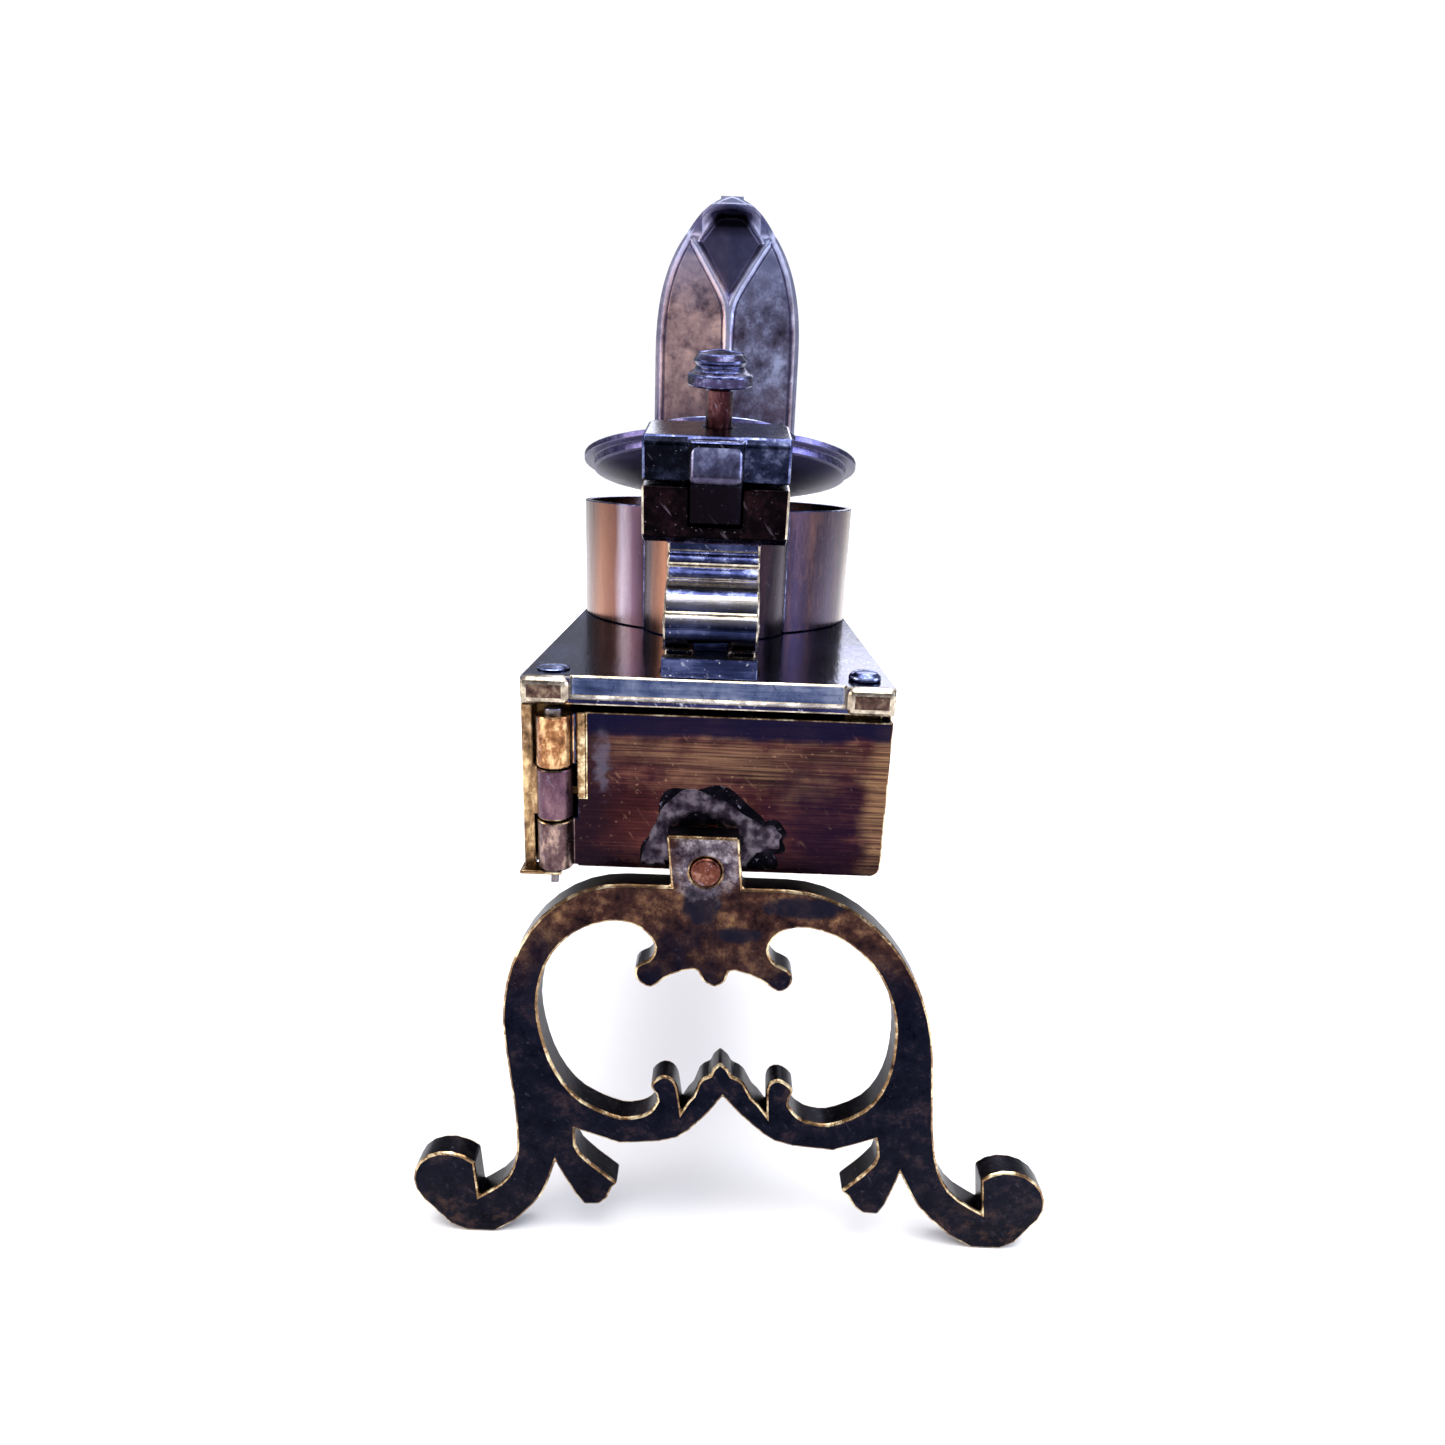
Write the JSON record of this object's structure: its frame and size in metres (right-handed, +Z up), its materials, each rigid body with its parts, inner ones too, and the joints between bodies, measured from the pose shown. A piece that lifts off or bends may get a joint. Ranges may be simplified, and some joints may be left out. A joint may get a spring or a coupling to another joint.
{
  "type": "tinder lighter",
  "caption": "Antique flintlock tinder lighter: brass box on a scroll foot with a hinged end door, jawed cock, lidded tinder drum, striking steel and pistol butt.",
  "frame": {"origin": "middle of the part's footprint box, on the table under it", "axes": "+X to the right seen from the door end, +Y from the door end towards the butt, +Z up"},
  "size_m": [0.0736, 0.131, 0.1175],
  "materials": {
    "dark_brass": "dark patinated brass, scratched",
    "worn_brass": "worn brass, dark in the hollows",
    "plate_brass": "polished dark blue-black brass",
    "copper_rivet": "tarnished copper",
    "blued_steel": "blued steel",
    "bright_steel": "polished steel",
    "grey_steel": "grey worn steel",
    "walnut": "oiled walnut"
  },
  "bodies": {
    "case": {"case_body": "dark_brass", "cock_base": "dark_brass", "tinder_drum": "dark_brass", "butt_strap": "dark_brass", "inner_shelf": "worn_brass", "corner_lug_1": "worn_brass", "corner_lug_2": "worn_brass", "corner_lug_3": "worn_brass", "corner_lug_4": "worn_brass", "cross_bolt": "worn_brass", "lid_hinge_bracket": "worn_brass", "butt_cap": "worn_brass", "trigger_guard": "worn_brass", "top_plate": "plate_brass", "plate_screw_1": "blued_steel", "plate_screw_2": "blued_steel", "plate_screw_3": "blued_steel", "plate_screw_4": "blued_steel", "mainspring": "blued_steel", "trigger_spring": "blued_steel", "lid_spring": "blued_steel", "strap_screw_1": "blued_steel", "strap_screw_2": "blued_steel", "cross_nut": "bright_steel", "door_hinge_pin": "grey_steel", "cock_pin": "grey_steel", "spring_screw_1": "grey_steel", "spring_screw_2": "grey_steel", "lid_hinge_pin": "grey_steel", "cap_screw": "grey_steel", "tang_screw_1": "grey_steel", "tang_screw_2": "grey_steel", "guard_screw_1": "grey_steel", "guard_screw_2": "grey_steel", "butt_wood": "walnut"},
    "door": {"front_door": "dark_brass", "door_catch": "grey_steel", "front_foot": "worn_brass", "foot_rivet": "copper_rivet"},
    "cock": {"cock_body": "dark_brass"},
    "top_jaw": {"top_jaw": "blued_steel"},
    "jaw_screw": {"jaw_screw": "bright_steel"},
    "lid": {"drum_lid": "dark_brass", "striking_steel": "blued_steel", "steel_rivet_1": "grey_steel", "steel_rivet_2": "grey_steel"},
    "trigger": {"trigger": "grey_steel"}
  },
  "joints": [
    {"name": "door_hinge", "type": "hinge", "parent": "case", "child": "door", "pos_m": [-0.02007, -0.06227, 0.055], "axis": [0, 0, -1], "range_deg": [0, 110]},
    {"name": "cock_pivot", "type": "hinge", "parent": "case", "child": "cock", "pos_m": [-0.00447, -0.05737, 0.0717], "axis": [1, 0, 0], "range_deg": [0, 45], "stiffness_Nm_per_rad": 0.02, "springref_deg": -34.38},
    {"name": "top_jaw_slide", "type": "slide", "parent": "cock", "child": "top_jaw", "axis": [0, -0.2079, 0.9781], "range_m": [0, 0.0035]},
    {"name": "jaw_screw_travel", "type": "slide", "parent": "cock", "child": "jaw_screw", "axis": [0, -0.2079, 0.9781], "range_m": [-0.0035, 0.004]},
    {"name": "lid_hinge", "type": "hinge", "parent": "case", "child": "lid", "pos_m": [-0.00447, 0.00413, 0.0833], "axis": [-1, 0, 0], "range_deg": [-12.3, 60]},
    {"name": "trigger_pivot", "type": "hinge", "parent": "case", "child": "trigger", "pos_m": [-0.00447, -0.01327, 0.0617], "axis": [1, 0, 0], "range_deg": [0, 5], "stiffness_Nm_per_rad": 0.02, "springref_deg": -17.19}
  ]
}
